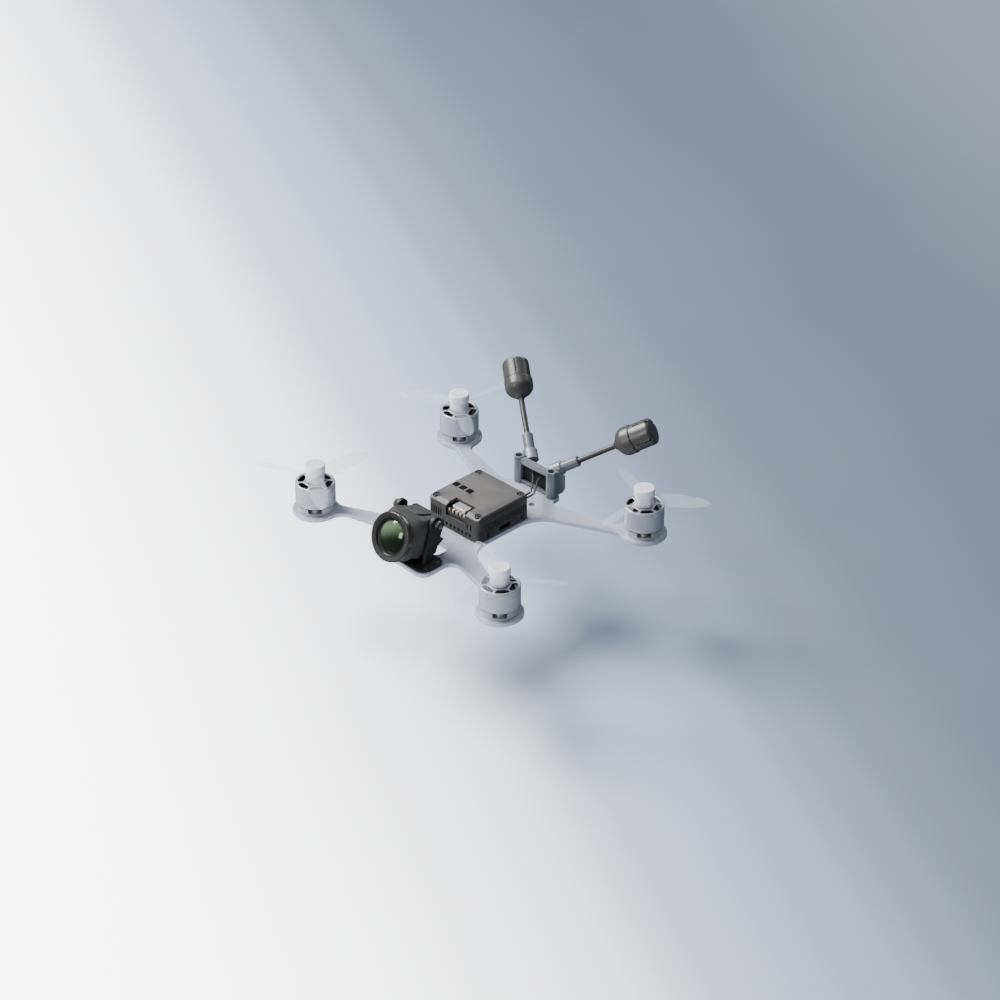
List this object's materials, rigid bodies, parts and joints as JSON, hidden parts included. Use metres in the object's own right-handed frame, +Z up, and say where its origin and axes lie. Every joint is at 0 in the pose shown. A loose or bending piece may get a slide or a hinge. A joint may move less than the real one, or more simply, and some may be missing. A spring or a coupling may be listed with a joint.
{
  "type": "fpv racing drone",
  "caption": "Small X-frame FPV racing drone with brushless motors, a tilting camera, a video module and two round-headed antennas.",
  "frame": {"origin": "centre of the flat underside of the frame plate, directly below the video module's centre", "axes": "+Z up, -Y towards the nose, -X towards the drone's right side"},
  "size_m": [0.1795, 0.1578, 0.0459],
  "materials": {
    "motor_can": "satin white enamel",
    "magnet": "nickel",
    "steel": "turned",
    "propeller": "clear polycarbonate",
    "prop_cap": "satin white",
    "motor_foot": "anodised",
    "stator": "laminated, coated",
    "copper": "enamelled wire",
    "screw": "black oxide",
    "frame": "satin light grey",
    "module_dark": "fine texture",
    "module_cover": "bead-blasted warm grey",
    "window_tile": "gloss black",
    "shield": "tinned",
    "connector_dark": "moulded",
    "gold": "gold plated",
    "port_metal": "nickel",
    "board": "solder mask",
    "heat_spreader": "cast",
    "rubber": "matt",
    "button": "moulded",
    "camera_body": "fine texture",
    "lens_ring": "anodised",
    "lens_barrel": "matt black",
    "lens_glass": "green anti-reflection coating",
    "knob": "satin black",
    "camera_mount": "printed, matt",
    "bracket": "satin cool grey",
    "sleeve": "satin cool grey",
    "guard": "matt black",
    "antenna_rod": "semi-gloss",
    "antenna_head": "satin graphite",
    "coax": "jacketed"
  },
  "bodies": {
    "airframe": {"antenna_bracket": "bracket", "antenna_cap_left": "antenna_head", "antenna_cap_right": "antenna_head", "antenna_cup_left": "antenna_head", "antenna_cup_right": "antenna_head", "antenna_rods": "antenna_rod", "antenna_sleeves": "sleeve", "cable_guard": "guard", "camera_mount": "camera_mount", "coax_cables": "coax", "connector_header": "connector_dark", "connector_pins": "gold", "connector_shield": "shield", "cover_screws": "screw", "flight_board": "board", "frame_plate": "frame", "frame_screws": "screw", "heat_spreader": "heat_spreader", "module_cover": "module_cover", "module_housing": "module_dark", "module_pads": "rubber", "module_windows": "window_tile", "motor_base_front_left": "motor_foot", "motor_base_front_right": "motor_foot", "motor_base_rear_left": "motor_foot", "motor_base_rear_right": "motor_foot", "motor_bearings": "steel", "motor_screws": "screw", "stators": "stator", "usb_port": "port_metal", "video_board": "board", "windings": "copper"},
    "rotor_front_left": {"bell_front_left": "motor_can", "magnet_ring_front_left": "magnet", "shaft_front_left": "steel", "propeller_front_left": "propeller", "prop_cap_front_left": "prop_cap"},
    "rotor_front_right": {"bell_front_right": "motor_can", "magnet_ring_front_right": "magnet", "shaft_front_right": "steel", "propeller_front_right": "propeller", "prop_cap_front_right": "prop_cap"},
    "rotor_rear_left": {"bell_rear_left": "motor_can", "magnet_ring_rear_left": "magnet", "shaft_rear_left": "steel", "propeller_rear_left": "propeller", "prop_cap_rear_left": "prop_cap"},
    "rotor_rear_right": {"bell_rear_right": "motor_can", "magnet_ring_rear_right": "magnet", "shaft_rear_right": "steel", "propeller_rear_right": "propeller", "prop_cap_rear_right": "prop_cap"},
    "camera": {"camera_housing": "camera_body", "camera_rear_cover": "camera_body", "lens_ring": "lens_ring", "lens_barrel": "lens_barrel", "lens_glass": "lens_glass", "camera_sensor": "board", "tilt_screws": "knob"},
    "link_button": {"link_button": "button"}
  },
  "joints": [
    {"name": "front_left_spin", "type": "hinge", "parent": "airframe", "child": "rotor_front_left", "pos_m": [0.062, -0.0476, 0.0165], "axis": [0, 0, 1], "continuous": true},
    {"name": "front_right_spin", "type": "hinge", "parent": "airframe", "child": "rotor_front_right", "pos_m": [-0.062, -0.0476, 0.0165], "axis": [0, 0, 1], "continuous": true},
    {"name": "rear_left_spin", "type": "hinge", "parent": "airframe", "child": "rotor_rear_left", "pos_m": [0.062, 0.0476, 0.0165], "axis": [0, 0, 1], "continuous": true},
    {"name": "rear_right_spin", "type": "hinge", "parent": "airframe", "child": "rotor_rear_right", "pos_m": [-0.062, 0.0476, 0.0165], "axis": [0, 0, 1], "continuous": true},
    {"name": "camera_tilt", "type": "hinge", "parent": "airframe", "child": "camera", "pos_m": [0, -0.0391, 0.0219], "axis": [-1, 0, 0], "range_deg": [-8, 20]},
    {"name": "link_button_press", "type": "slide", "parent": "airframe", "child": "link_button", "axis": [-1, 0, 0], "range_m": [0, 0.0004], "stiffness_N_per_m": 600, "springref_m": -0.0003}
  ]
}
